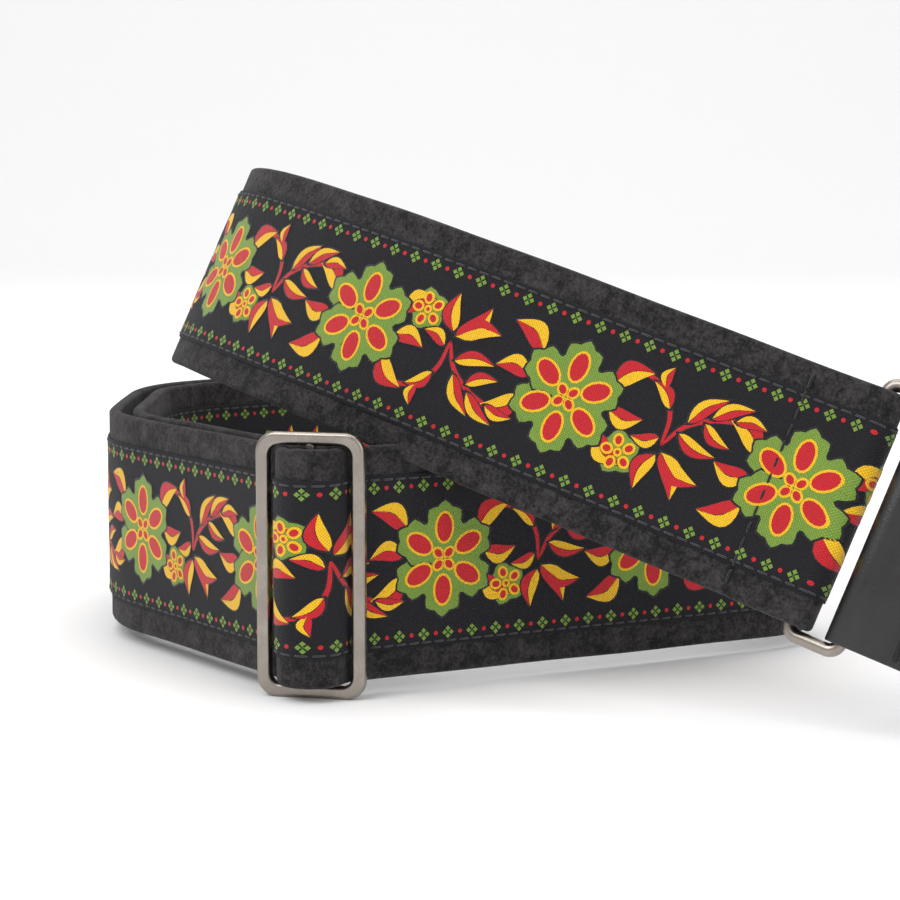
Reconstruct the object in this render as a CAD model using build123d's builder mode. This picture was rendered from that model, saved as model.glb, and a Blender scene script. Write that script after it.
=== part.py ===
"""Guitar strap: a two inch suede band faced with a woven ribbon, with a slider and two leather ends.

The strap stands on its edge, loosely coiled. Z is up, the floor is z = 0, and the origin is on the
floor under the middle of the coil. Sizes are in millimetres and angles in degrees. A run is the
strap's middle line, walked from one end, with the ribbon on the walker's left.
"""
from build123d import *
from math import acos, atan2, cos, degrees, radians, sin, sqrt, tan
import os

# ---- the band, in layers from the core outwards
strap_width = 50.8
core_width = 46.0
core_thickness = 1.2
suede_skin = 0.8             # the suede is folded round the core and closes under the ribbon
suede_closing_gap = 1.2
ribbon_width = 38.0
ribbon_thickness = 0.5
thread_width = 0.6
thread_height = 0.2
thread_inset = 1.0           # from the ribbon's edge to the middle of the thread
stitch_gap = 0.4             # break in the ribbon stitching at each end of the untwisting stretch

# ---- hardware
wire_diameter = 2.8          # both rings, the slider's centre bar and the slider's end rails
side_clearance = 0.3         # beside the band in the rings and the slider
bar_clearance = 0.35         # round a bar inside a sewn loop
ring_bar_spacing = 11.1      # between the centres of a ring's two long bars
ring_corner_radius = 2.3     # of the wire's middle line, so small that the band lies flat on the bar
slider_width = 24.0
slider_side_bar = 3.0        # width of each upright of the slider
slider_depth = 2.6
slider_corner_radius = 4.4
slider_edge_radius = 0.8
slider_socket_depth = 1.2    # how far the centre bar is let into the end rails

# ---- sewn loops
layer_gap = 0.15             # between two layers of the band that are sewn together
hem_tail = 6.0               # flat part of the hem at the front ring
hem_back_angle = 45.0        # how far the hem leans back after it has gone round the ring
hem_seam_from_bar = 14.0
slider_tail = 12.0           # flat part of the hem at the slider
slider_seam_from_bar = 13.0
ribbon_stop = 30.0           # bare suede between the ribbon's end and the slider's centre bar
seam_margin = 2.5            # from the end of a cross seam to the band's edge

# ---- leather ends
leather_thickness = 1.5
stiffener_thickness = 1.0
leather_back_angle = 25.0
tab_length = 76.0            # from the ring's outer bar to the tip
tab_straight = 24.0          # full width as far as this
tip_width = 33.0
tip_corner_radius = 13.0
stiffener_start = 9.0
stiffener_inset = 3.0
panel_thickness = 0.8
panel_start = 11.0
panel_length = 36.0
panel_inset = 1.4
panel_stitch_inset = 1.6
button_hole_radius = 4.0
button_hole_from_bar = 61.0
slit_length = 10.0           # from the hole's centre, towards the ring
slit_width = 1.2

# ---- the coil: upper loop, which leans
lean = Vector(0.39, 0.12, 0.913).normalized()   # direction across the band
upper_centre = Vector(-87.7, -5.2, 86.1)        # a point inside the left end of the upper loop
front_bar_at = (140.8, -104.9)                  # in the upper loop's own plane
front_heading = 155.5
front_straight = 83.0
front_bow = (146.0, -30.2)                      # radius and turn of each bend
shoulder = (56.0, -35.3)
left_fold = (24.0, -97.4)
back_straight = 50.7

# ---- the coil: lower loops, which stand upright
slider_at = (-65.1, -86.0)
slider_heading = -13.7                          # from the slider's left upright to its right one
wall_angle = 41.4                               # each side wall falls back this far from the slider
wall_under_bar = 0.85                           # gap between a side wall and the slider's upright
saddle_radius = 6.0                             # of the reverse bend under each upright
right_wall = 107.0
right_turn_radius = 23.0
left_wall = 63.0
lower_fold_front = (48.0, -34.9)
lower_fold_straight = 36.0
lower_fold_back = (43.0, -55.0)
back_wall = 70.0
inner_fold_back = (35.0, 55.0)
inner_fold_straight = 37.0
inner_fold_front = (40.0, 34.9)
untwist_sections = 8

# ---- worked out from the sizes above
band_thickness = core_thickness + 2 * suede_skin
half_band = band_thickness / 2
ribbon_face = half_band + ribbon_thickness
bar_radius = wire_diameter / 2
centre_bar_radius = slider_depth / 2 - 0.1
loop_radius = bar_radius + bar_clearance + half_band        # middle of the band round a bar
sewn_spacing = band_thickness + layer_gap
lower_edge = wire_diameter + side_clearance
mid_height = lower_edge + strap_width / 2
opening_length = strap_width + 2 * side_clearance
slider_height = opening_length + 2 * wire_diameter
thread_at = ribbon_width / 2 - thread_inset


def ahead(spot, length):
    """The spot (x, y, heading) that lies straight ahead."""
    x, y, heading = spot
    return (x + length * cos(radians(heading)), y + length * sin(radians(heading)), heading)


def turn(spot, radius, angle):
    """The spot at the end of an arc; a positive angle turns left."""
    x, y, heading = spot
    side = radius if angle > 0 else -radius
    new = heading + angle
    return (x + side * (sin(radians(new)) - sin(radians(heading))),
            y - side * (cos(radians(new)) - cos(radians(heading))), new)


def walk(spot, steps):
    """Legs of a run: a step is (length,) for a straight and (radius, angle) for an arc."""
    legs = []
    for step in steps:
        if len(step) == 1:
            middle, end = None, ahead(spot, *step)
        else:
            radius, angle = step
            middle, end = turn(spot, radius, angle / 2), turn(spot, radius, angle)
        legs.append((spot, middle, end))
        spot = end
    return legs


def turned(legs):
    """The same run, walked from its other end."""
    def about(spot):
        return spot and (spot[0], spot[1], spot[2] + 180)
    return [(about(end), about(middle), about(start)) for start, middle, end in reversed(legs)]


def beside(spot, offset):
    """The point that lies this far to the left of a spot."""
    x, y, heading = spot
    return (x - offset * sin(radians(heading)), y + offset * cos(radians(heading)))


def draw_layer(legs, inner, outer):
    """Draw the closed outline of a layer of the band, between two offsets from its run."""
    for leg in legs:
        for offset in (inner, outer):
            points = [beside(spot, offset) for spot in leg if spot]
            if len(points) == 2:
                Line(*points)
            else:
                ThreePointArc(*points)
    for spot in (legs[0][0], legs[-1][2]):
        Line(beside(spot, inner), beside(spot, outer))


def lean_back_radius(radius, spacing, angle):
    """Radius of the reverse bend that brings a hem back against the band after its loop."""
    return (radius * (1 + cos(radians(angle))) - spacing) / (1 - cos(radians(angle)))


# ---- the upper run: hem at the front ring, front, left fold, back
upper_plane = Plane(origin=upper_centre,
                    x_dir=Vector(1, 0, 0) - lean * lean.X, z_dir=lean)
hem_radius = lean_back_radius(loop_radius, sewn_spacing, hem_back_angle)
hem_reach = (loop_radius + hem_radius) * sin(radians(hem_back_angle))
front_bar = (*front_bar_at, front_heading - 180)
hem_end = ahead((*beside(front_bar, sewn_spacing - loop_radius), front_bar[2]), -hem_reach - hem_tail)
upper_run = walk(hem_end, [(hem_tail,), (hem_radius, hem_back_angle),
                           (loop_radius, -180 - hem_back_angle), (front_straight,),
                           front_bow, shoulder, left_fold, (back_straight,)])

# ---- the slider, and the hump that the band makes over its centre bar
hump_radius = loop_radius + half_band + layer_gap + half_band
upright_from_centre = (slider_width - slider_side_bar) / 2
upright_reach = slider_side_bar / 2
wall_from_centre = (upright_from_centre * sin(radians(wall_angle))
                    - upright_reach - wall_under_bar - ribbon_face)
saddle_angle = degrees(acos((wall_from_centre + saddle_radius) / (hump_radius + saddle_radius)))
hump_angle = wall_angle + saddle_angle
slider_x = Vector(cos(radians(slider_heading)), sin(radians(slider_heading)), 0)
slider_out = slider_x.cross(Vector(0, 0, 1))
slider_centre = Vector(*slider_at, mid_height)
slider_plane = Plane(origin=slider_centre, x_dir=slider_x, z_dir=slider_out)

# ---- the lower run: right turn, right wall, hump, left wall, left fold, back, rear ring, and back inside
apex = beside((*slider_at, slider_heading), -hump_radius)
right_run = walk((*apex, slider_heading),
                 [(hump_radius, hump_angle), (saddle_radius, -saddle_angle), (right_wall,),
                  (right_turn_radius, 90 - slider_heading - wall_angle)])
left_walk = walk((*apex, slider_heading + 180),
                 [(hump_radius, -hump_angle), (saddle_radius, saddle_angle), (left_wall,),
                  lower_fold_front, (lower_fold_straight,), lower_fold_back, (back_wall,)])
rear_bar_at = beside(left_walk[-1][2], -loop_radius)
rear_heading = left_walk[-1][2][2]
rear_turn = turn(left_walk[-1][2], loop_radius, -180)

# the inner layer comes back to the slider's centre bar: its first and last straights close the loop
last_heading = slider_heading + 360 - wall_angle
arrival = beside((*slider_at, last_heading), loop_radius)
fold_shift = walk((0, 0, rear_turn[2]), [inner_fold_back, (inner_fold_straight,), inner_fold_front])[-1][2]
first_way = ahead((0, 0, rear_turn[2]), 1)
last_way = ahead((0, 0, fold_shift[2]), 1)
gap_x = arrival[0] - rear_turn[0] - fold_shift[0]
gap_y = arrival[1] - rear_turn[1] - fold_shift[1]
spread = first_way[0] * last_way[1] - first_way[1] * last_way[0]
first_straight = (gap_x * last_way[1] - gap_y * last_way[0]) / spread
last_straight = (first_way[0] * gap_y - first_way[1] * gap_x) / spread
tail_radius = hump_radius + saddle_radius - loop_radius
inner_steps = [(loop_radius, -180), (first_straight,), inner_fold_back,
               (inner_fold_straight,), inner_fold_front]
inner_run = walk(left_walk[-1][2], inner_steps + [(last_straight,), (loop_radius, -180 - saddle_angle),
                                                  (tail_radius, saddle_angle), (slider_tail,)])
ribbon_inner_run = walk(left_walk[-1][2], inner_steps + [(last_straight - ribbon_stop,)])
lower_run = turned(right_run) + left_walk + inner_run
ribbon_lower_run = turned(right_run) + left_walk + ribbon_inner_run

# ---- where the band untwists, from the leaning back run to the upright right turn
upper_end = upper_run[-1][2]
untwist_start = upper_plane.from_local_coords(Vector(upper_end[0], upper_end[1], 0))
start_way = (upper_plane.x_dir * cos(radians(upper_end[2]))
             + upper_plane.y_dir * sin(radians(upper_end[2])))
start_heading = degrees(atan2(start_way.Y, start_way.X))
start_slope = start_way.Z / sqrt(start_way.X ** 2 + start_way.Y ** 2)
turn_end = right_run[-1][2]
corner_reach = (turn_end[0] - untwist_start.X) / cos(radians(start_heading))
corner_y = untwist_start.Y + corner_reach * sin(radians(start_heading))
bend = 90 + start_heading
bend_radius = (corner_y - turn_end[1]) / tan(radians(bend / 2))
untwist_straight = corner_reach - (corner_y - turn_end[1])
untwist_length = untwist_straight + bend_radius * radians(bend)


def untwist_plane(share):
    """The plane across the band, this share of the way along its untwisting stretch."""
    along = share * untwist_length
    spot = ahead((untwist_start.X, untwist_start.Y, start_heading), min(along, untwist_straight))
    if along > untwist_straight:
        spot = turn(spot, bend_radius, -degrees((along - untwist_straight) / bend_radius))
    drop = untwist_start.Z - mid_height
    fall = start_slope * untwist_length
    height = (mid_height + drop * (2 * share ** 3 - 3 * share ** 2 + 1)
              + fall * (share ** 3 - 2 * share ** 2 + share))
    slope = (drop * (6 * share ** 2 - 6 * share) + fall * (3 * share ** 2 - 4 * share + 1)) / untwist_length
    way = Vector(cos(radians(spot[2])), sin(radians(spot[2])), slope).normalized()
    upright = share ** 2 * (3 - 2 * share)
    across = lean * (1 - upright) + Vector(0, 0, 1) * upright
    across = (across - way * across.dot(way)).normalized()
    return Plane(origin=(spot[0], spot[1], height), x_dir=across, z_dir=way)


def band_layer(inner, outer, width, shift=0.0, legs=lower_run, gap=0.0):
    """One layer of the band over its whole length, between two offsets, shifted across the band.

    It is broken by the gap at both ends of the untwisting stretch.
    """
    with BuildPart() as layer:
        with BuildSketch(upper_plane.offset(shift)):
            with BuildLine():
                draw_layer(upper_run, inner, outer)
            make_face()
        extrude(amount=width / 2, both=True)
        with BuildSketch(Plane.XY.offset(mid_height + shift)):
            with BuildLine():
                draw_layer(legs, inner, outer)
            make_face()
        extrude(amount=width / 2, both=True)
        break_share = gap / untwist_length
        for step in range(untwist_sections + 1):
            share = break_share + (1 - 2 * break_share) * step / untwist_sections
            with BuildSketch(untwist_plane(share)):
                with Locations((shift, -(inner + outer) / 2)):
                    Rectangle(width, outer - inner)
        loft()
    return layer.part


def thread_line(plane, spot, offset, width):
    """A row of stitching across the band at a spot on a run, on the face at this offset."""
    x, y = beside(spot, offset)
    with BuildPart() as seam:
        with BuildSketch(plane):
            with Locations(Location((x, y, 0), (0, 0, spot[2]))):
                Rectangle(thread_width, thread_height)
        extrude(amount=width / 2, both=True)
    return seam.part


os.makedirs("parts", exist_ok=True)


def keep(part, name):
    """Name a finished piece and write it."""
    part.label = name
    export_step(part, f"parts/{name}.step")


# ---- the band
with BuildPart() as webbing_core:
    add(band_layer(-core_thickness / 2, core_thickness / 2, core_width))
keep(webbing_core.part, "webbing_core")

with BuildPart() as suede_cover:
    add(band_layer(-half_band, half_band, strap_width))
    add(webbing_core.part, mode=Mode.SUBTRACT)
    add(band_layer(core_thickness / 2, half_band, suede_closing_gap), mode=Mode.SUBTRACT)
keep(suede_cover.part, "suede_cover")

with BuildPart() as jacquard_ribbon:
    add(band_layer(half_band, ribbon_face, ribbon_width, legs=ribbon_lower_run))
keep(jacquard_ribbon.part, "jacquard_ribbon")

for name, side in (("ribbon_stitching_upper", 1), ("ribbon_stitching_lower", -1)):
    with BuildPart() as ribbon_stitching:
        add(band_layer(ribbon_face, ribbon_face + thread_height, thread_width,
                       side * thread_at, ribbon_lower_run, stitch_gap))
    keep(ribbon_stitching.part, name)

hem_front = ahead(upper_run[3][0], hem_seam_from_bar)
hem_back = ahead(hem_end, hem_tail / 2)
with BuildPart() as ring_hem_stitching:
    for spot in (hem_front, hem_back):
        add(thread_line(upper_plane, spot, ribbon_face + thread_height / 2, strap_width - 2 * seam_margin))
keep(ring_hem_stitching.part, "ring_hem_stitching")

slider_hem = ahead(inner_run[5][2], -slider_seam_from_bar)
with BuildPart() as slider_hem_stitching:
    add(thread_line(Plane.XY.offset(mid_height), slider_hem, half_band + thread_height / 2,
                    strap_width - 2 * seam_margin))
keep(slider_hem_stitching.part, "slider_hem_stitching")


# ---- the slider
with BuildPart() as slider_frame:
    with BuildSketch(slider_plane):
        RectangleRounded(slider_width, slider_height, slider_corner_radius)
        RectangleRounded(slider_width - 2 * slider_side_bar, opening_length,
                         slider_corner_radius - wire_diameter + 0.6, mode=Mode.SUBTRACT)
    extrude(amount=slider_depth / 2, both=True)
    fillet(slider_frame.edges(), slider_edge_radius)
    with BuildSketch(Plane.XY.offset(wire_diameter - slider_socket_depth)):
        with Locations(slider_at):
            Circle(centre_bar_radius)
    extrude(amount=opening_length + 2 * slider_socket_depth, mode=Mode.SUBTRACT)
keep(slider_frame.part, "slider_frame")

with BuildPart() as slider_centre_bar:
    with BuildSketch(Plane.XY.offset(wire_diameter - slider_socket_depth)):
        with Locations(slider_at):
            Circle(centre_bar_radius)
    extrude(amount=opening_length + 2 * slider_socket_depth)
keep(slider_centre_bar.part, "slider_centre_bar")


# ---- a ring and a leather end, at the front bar and at the rear bar
def ring(place):
    """A rounded wire ring; place stands on its inner bar, x towards the leather end, z along the bar."""
    middle = place.origin + place.x_dir * (ring_bar_spacing / 2)
    half_x, half_y = ring_bar_spacing / 2, (opening_length + wire_diameter) / 2
    with BuildPart() as loop:
        with BuildLine(Plane(origin=middle, x_dir=place.x_dir, z_dir=-place.y_dir)) as path:
            FilletPolyline((-half_x, -half_y), (-half_x, half_y), (half_x, half_y), (half_x, -half_y),
                           close=True, radius=ring_corner_radius)
        with BuildSketch(Plane(origin=path.line @ 0, z_dir=path.line % 0)):
            Circle(bar_radius)
        sweep()
    return loop.part


leather_loop_radius = bar_radius + bar_clearance + leather_thickness / 2
leaf_spacing = stiffener_thickness + leather_thickness
lean_in = radians(leather_back_angle)
leaf_back_radius = (leather_loop_radius * cos(lean_in) - leaf_spacing / 2) / (1 - cos(lean_in))
leaf_straight = tab_length - (leather_loop_radius + leaf_back_radius) * sin(lean_in)
tab_half = leaf_spacing / 2 + leather_thickness / 2


def tab_blank(place, low, high, inset=0.0, first=-3 * wire_diameter, last=tab_length):
    """The flat shape of a leather end between two depths, with its button hole and slit cut out."""
    half, tip = strap_width / 2 - inset, tip_width / 2 - inset
    with BuildPart() as blank:
        with BuildSketch(Plane(origin=place.origin + place.y_dir * high,
                               x_dir=place.x_dir, z_dir=-place.y_dir)) as shape:
            with BuildLine():
                Polyline((first, -half), (tab_straight, -half), (tab_length - inset, -tip),
                         (tab_length - inset, tip), (tab_straight, half), (first, half), close=True)
            make_face()
            fillet(shape.vertices().sort_by(Axis.X)[-2:], tip_corner_radius - inset)
            with Locations(((first + last) / 2, 0)):
                Rectangle(last - first, strap_width, mode=Mode.INTERSECT)
            with Locations((button_hole_from_bar, 0)):
                Circle(button_hole_radius, mode=Mode.SUBTRACT)
            with Locations((button_hole_from_bar - slit_length / 2, 0)):
                Rectangle(slit_length, slit_width, mode=Mode.SUBTRACT)
        extrude(amount=high - low)
    return blank.part


def tab_leather(place):
    """The leather: one piece folded round the ring's outer bar, both leaves cut to one shape."""
    with BuildPart() as leather:
        with BuildSketch(Plane(origin=place.origin, x_dir=place.x_dir, z_dir=place.z_dir)):
            with BuildLine():
                draw_layer(walk((tab_length, -leaf_spacing / 2, 180),
                                [(leaf_straight,), (leaf_back_radius, leather_back_angle),
                                 (leather_loop_radius, -180 - 2 * leather_back_angle),
                                 (leaf_back_radius, leather_back_angle), (leaf_straight,)]),
                           -leather_thickness / 2, leather_thickness / 2)
            make_face()
        extrude(amount=strap_width / 2, both=True)
        add(tab_blank(place, -2 * wire_diameter, 2 * wire_diameter), mode=Mode.INTERSECT)
    return leather.part


def tab_stitching(place, low, high):
    """The rows of stitching that hold the ribbed panel, along its two sides and its two ends."""
    inset = panel_inset + panel_stitch_inset
    first, last = panel_start + panel_stitch_inset, panel_start + panel_length - panel_stitch_inset
    with BuildPart() as rows:
        add(tab_blank(place, low, high, inset, first, last))
        add(tab_blank(place, low, high, inset + thread_width, first + thread_width,
                      last - thread_width), mode=Mode.SUBTRACT)
    return rows.part


front_place = Plane(origin=upper_plane.from_local_coords(Vector(*front_bar_at, 0)),
                    x_dir=upper_plane.x_dir * cos(radians(front_bar[2]))
                    + upper_plane.y_dir * sin(radians(front_bar[2])), z_dir=lean)
rear_place = Plane(origin=(*rear_bar_at, mid_height),
                   x_dir=(cos(radians(rear_heading)), sin(radians(rear_heading)), 0), z_dir=(0, 0, 1))

for end, bar in (("front", front_place), ("rear", rear_place)):
    with BuildPart() as end_ring:
        add(ring(bar))
    keep(end_ring.part, f"{end}_ring")

    tab = Plane(origin=bar.origin + bar.x_dir * ring_bar_spacing, x_dir=bar.x_dir, z_dir=bar.z_dir)
    outside = -1 if end == "front" else 1       # the face that looks away from the coil
    panel_faces = sorted((outside * tab_half, outside * (tab_half + panel_thickness)))
    thread_faces = sorted((outside * (tab_half + panel_thickness),
                           outside * (tab_half + panel_thickness + thread_height)))
    with BuildPart() as end_leather:
        add(tab_leather(tab))
    keep(end_leather.part, f"{end}_tab_leather")
    with BuildPart() as end_stiffener:
        add(tab_blank(tab, -stiffener_thickness / 2, stiffener_thickness / 2, stiffener_inset,
                      stiffener_start, tab_length - stiffener_inset))
    keep(end_stiffener.part, f"{end}_tab_stiffener")
    with BuildPart() as end_panel:
        add(tab_blank(tab, *panel_faces, panel_inset, panel_start, panel_start + panel_length))
    keep(end_panel.part, f"{end}_tab_panel")
    with BuildPart() as end_stitching:
        add(tab_stitching(tab, *thread_faces))
    keep(end_stitching.part, f"{end}_tab_stitching")
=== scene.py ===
"""Looks for a guitar strap that lies coiled on its edge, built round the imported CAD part."""

from __future__ import annotations

import logging
import math
import random
from collections.abc import Callable, Sequence
from dataclasses import dataclass, field
from enum import Enum

import bmesh
import bpy
import numpy as np
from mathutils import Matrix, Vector

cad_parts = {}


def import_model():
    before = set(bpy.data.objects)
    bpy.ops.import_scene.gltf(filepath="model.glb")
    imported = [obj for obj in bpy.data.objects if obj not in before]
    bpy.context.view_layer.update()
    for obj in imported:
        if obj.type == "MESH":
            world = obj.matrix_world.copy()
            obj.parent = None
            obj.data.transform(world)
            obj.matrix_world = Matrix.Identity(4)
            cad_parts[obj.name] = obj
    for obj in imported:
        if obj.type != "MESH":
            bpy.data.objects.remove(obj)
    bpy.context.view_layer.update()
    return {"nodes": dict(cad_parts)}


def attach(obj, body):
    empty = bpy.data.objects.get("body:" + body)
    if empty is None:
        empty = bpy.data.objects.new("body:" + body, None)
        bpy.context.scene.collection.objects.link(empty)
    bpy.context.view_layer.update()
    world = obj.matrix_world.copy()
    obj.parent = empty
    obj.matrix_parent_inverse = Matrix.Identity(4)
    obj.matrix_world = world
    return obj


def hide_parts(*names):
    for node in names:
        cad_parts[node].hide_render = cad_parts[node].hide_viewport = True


LOG = logging.getLogger("strap")
MM = 0.001
Spot = tuple[float, float, float]
Colour = tuple[float, float, float]
Mapping = Callable[[np.ndarray, np.ndarray, np.ndarray], np.ndarray]


class Yarn(Enum):
    """The yarns that the ribbon's pattern is woven in."""

    OUTLINE = "outline"
    GREEN = "green"
    DARK_GREEN = "dark_green"
    RED = "red"
    YELLOW = "yellow"


class End(Enum):
    """The two leather ends."""

    FRONT = "front"
    REAR = "rear"


class Level(Enum):
    """How far each layer of the pattern stands above the ribbon, in millimetres."""

    EDGE = 0.03
    LOW = 0.05
    UNDER = 0.065
    MIDDLE = 0.08
    HIGH = 0.15
    TOP = 0.175


# ---- shaders


class Wire:
    """A shader socket that takes part in plain arithmetic."""

    def __init__(self, graph: Graph, socket: bpy.types.NodeSocket) -> None:
        """Wrap a socket.

        Args:
            graph: the graph that the socket belongs to.
            socket: the output socket.
        """
        self.graph = graph
        self.socket = socket

    def math(self, operation: str, *others: Wire | float) -> Wire:
        """Put this value through a Math node.

        Args:
            operation: the Math node's operation.
            others: the further inputs.

        Returns:
            The result.
        """
        inputs = dict(enumerate((self, *others)))
        return self.graph.node("ShaderNodeMath", {"operation": operation}, inputs)

    def __add__(self, other: Wire | float) -> Wire:
        """Add."""
        return self.math("ADD", other)

    __radd__ = __add__

    def __mul__(self, other: Wire | float) -> Wire:
        """Multiply."""
        return self.math("MULTIPLY", other)

    __rmul__ = __mul__

    def __sub__(self, other: Wire | float) -> Wire:
        """Subtract."""
        return self.math("SUBTRACT", other)

    def __rsub__(self, other: float) -> Wire:
        """Subtract this value from a number."""
        return self * -1.0 + other

    def __abs__(self) -> Wire:
        """Drop the sign."""
        return self.math("ABSOLUTE")

    def sine(self) -> Wire:
        """Take the sine, in radians."""
        return self.math("SINE")

    def clamped(self) -> Wire:
        """Keep between 0 and 1."""
        return self.math("MAXIMUM", 0.0).math("MINIMUM", 1.0)


class Graph:
    """One material's node graph."""

    def __init__(self, name: str) -> None:
        """Start a material that holds only its shader and output.

        Args:
            name: the material's name.
        """
        self.material = bpy.data.materials.new(name)
        self.material.use_nodes = True
        self.tree = self.material.node_tree
        self.tree.nodes.clear()
        output = self.tree.nodes.new("ShaderNodeOutputMaterial")
        self.shader = self.tree.nodes.new("ShaderNodeBsdfPrincipled")
        self.tree.links.new(self.shader.outputs[0], output.inputs["Surface"])

    def node(
        self,
        kind: str,
        settings: dict[str, object] | None = None,
        inputs: dict[str | int, object] | None = None,
        output: str | int = 0,
    ) -> Wire:
        """Add a node.

        Args:
            kind: the node's type.
            settings: its properties, which are set first.
            inputs: a value or a wire for each named or numbered input.
            output: which output to hand back.

        Returns:
            The chosen output.
        """
        made = self.tree.nodes.new(kind)
        for key, value in (settings or {}).items():
            setattr(made, key, value)
        for key, value in (inputs or {}).items():
            self.feed(made.inputs[key], value)
        return Wire(self, made.outputs[output])

    def feed(self, socket: bpy.types.NodeSocket, value: object) -> None:
        """Link a wire to an input, or set the input's value."""
        if isinstance(value, Wire):
            self.tree.links.new(value.socket, socket)
        else:
            socket.default_value = value

    def surface(self, **inputs: object) -> bpy.types.Material:
        """Set the shader's inputs.

        Args:
            inputs: a value or a wire for each input, with _ for a space in its name.

        Returns:
            The finished material.
        """
        for key, value in inputs.items():
            self.feed(self.shader.inputs[key.replace("_", " ")], value)
        return self.material

    def place(self, kind: str = "Object") -> Wire:
        """Hand back a texture coordinate, which is in metres for Object and UV."""
        return self.node("ShaderNodeTexCoord", output=kind)

    def plan(self, place: Wire) -> tuple[Wire, Wire]:
        """Split off a coordinate's first two values."""
        first = self.node("ShaderNodeSeparateXYZ", inputs={0: place})
        return first, Wire(self, first.socket.node.outputs[1])

    def noise(self, place: Wire, scale: float, detail: float = 3.0, rough: float = 0.55) -> Wire:
        """Sample noise.

        Args:
            place: the coordinate.
            scale: cells to the metre.
            detail: octaves.
            rough: how strong the finer octaves are.

        Returns:
            The noise, about 0.5.
        """
        inputs = {"Vector": place, "Scale": scale, "Detail": detail, "Roughness": rough}
        return self.node("ShaderNodeTexNoise", inputs=inputs)

    def blend(self, share: Wire | float, first: Colour, second: Colour | Wire) -> Wire:
        """Mix two colours.

        Args:
            share: how much of the second colour there is.
            first: the first colour.
            second: the second colour.

        Returns:
            The mixed colour.
        """
        made = self.tree.nodes.new("ShaderNodeMix")
        made.data_type = "RGBA"
        self.feed(made.inputs[0], share)
        for socket, value in ((made.inputs[6], first), (made.inputs[7], second)):
            self.feed(socket, value if isinstance(value, Wire) else (*value, 1.0))
        return Wire(self, made.outputs[2])

    def bump(self, height: Wire, distance: float, strength: float = 1.0) -> Wire:
        """Turn a height into a normal.

        Args:
            height: the height, from 0 to 1.
            distance: what a height of 1 stands for, in metres.
            strength: how much of it shows.

        Returns:
            The normal.
        """
        inputs = {"Height": height, "Distance": distance, "Strength": strength}
        return self.node("ShaderNodeBump", inputs=inputs)


def shade(colour: Colour, amount: float) -> Colour:
    """Lighten or darken a colour by a factor."""
    return (colour[0] * amount, colour[1] * amount, colour[2] * amount)


@dataclass(frozen=True)
class SuedeFinish:
    """Brushed microfibre suede."""

    colour: Colour = (0.026, 0.024, 0.0245)
    nap_scale: float = 1500.0
    mottle_scale: float = 620.0

    def material(self) -> bpy.types.Material:
        """Build the material."""
        graph = Graph("suede")
        place = graph.place()
        nap = graph.noise(place, self.nap_scale, 4.0, 0.7)
        strokes = graph.noise(place, self.nap_scale / 7, 4.0, 0.7)
        mottle = graph.noise(place, self.mottle_scale, 4.0, 0.6)
        share = ((mottle - 0.5) * 1.3 + (strokes - 0.5) * 2.4 + (nap - 0.5) * 2.4 + 0.36).clamped()
        return graph.surface(
            Base_Color=graph.blend(share, shade(self.colour, 0.35), shade(self.colour, 2.0)),
            Roughness=(strokes * 0.12 + 0.86).clamped(),
            Normal=graph.bump(nap * 0.6 + strokes * 0.8, 0.0005, 0.9),
            Sheen_Weight=0.12,
            Sheen_Roughness=0.45,
            Sheen_Tint=(0.75, 0.72, 0.72, 1.0),
            Specular_IOR_Level=0.2,
        )


@dataclass(frozen=True)
class WovenFinish:
    """Woven yarn: warp along the piece's length and weft across it, laid out by its UV."""

    name: str
    colour: Colour
    warp: float = 0.0007
    weft: float = 0.0006
    contrast: float = 0.5
    roughness: float = 0.72
    sheen: float = 0.25

    def material(self) -> bpy.types.Material:
        """Build the material."""
        graph = Graph(self.name)
        along, across = graph.plan(graph.place("UV"))
        weft, warp = along * (math.pi / self.weft), across * (math.pi / self.warp)
        row, column = (weft + warp).sine(), (weft - warp).sine()
        weave = abs(row * column)
        fibre = graph.noise(graph.place(), 2600.0, 2.0)
        wear = graph.noise(graph.place(), 90.0, 4.0)
        share = (weave * 0.75 + fibre * 0.5 + wear * 0.35 - 0.35).clamped()
        dark, light = shade(self.colour, 1 - self.contrast), shade(self.colour, 1 + self.contrast * 0.7)
        return graph.surface(
            Base_Color=graph.blend(share, dark, light),
            Roughness=(fibre * 0.2 + (self.roughness - 0.1)).clamped(),
            Normal=graph.bump(weave * 0.8 + fibre * 0.3, 0.0002, 0.9),
            Sheen_Weight=self.sheen,
            Sheen_Roughness=0.4,
            Specular_IOR_Level=0.3,
        )


@dataclass(frozen=True)
class LeatherFinish:
    """Smooth, finely grained leather."""

    colour: Colour = (0.012, 0.011, 0.011)
    grain_scale: float = 900.0

    def material(self) -> bpy.types.Material:
        """Build the material."""
        graph = Graph("leather")
        place = graph.place()
        cell = graph.node(
            "ShaderNodeTexVoronoi",
            {"feature": "DISTANCE_TO_EDGE"},
            {"Vector": place, "Scale": self.grain_scale},
        )
        soft = graph.noise(place, self.grain_scale / 2, 3.0)
        wear = graph.noise(place, 55.0, 5.0, 0.6)
        share = (wear * 1.4 - 0.35).clamped()
        return graph.surface(
            Base_Color=graph.blend(share, shade(self.colour, 0.7), shade(self.colour, 1.7)),
            Roughness=(wear * 0.3 + soft * 0.1 + 0.2).clamped(),
            Normal=graph.bump((cell * 2.5).clamped() * 0.7 + soft * 0.4, 0.00007, 0.7),
            Coat_Weight=(wear * 0.2 + 0.05).clamped(),
            Coat_Roughness=0.35,
        )


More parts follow.
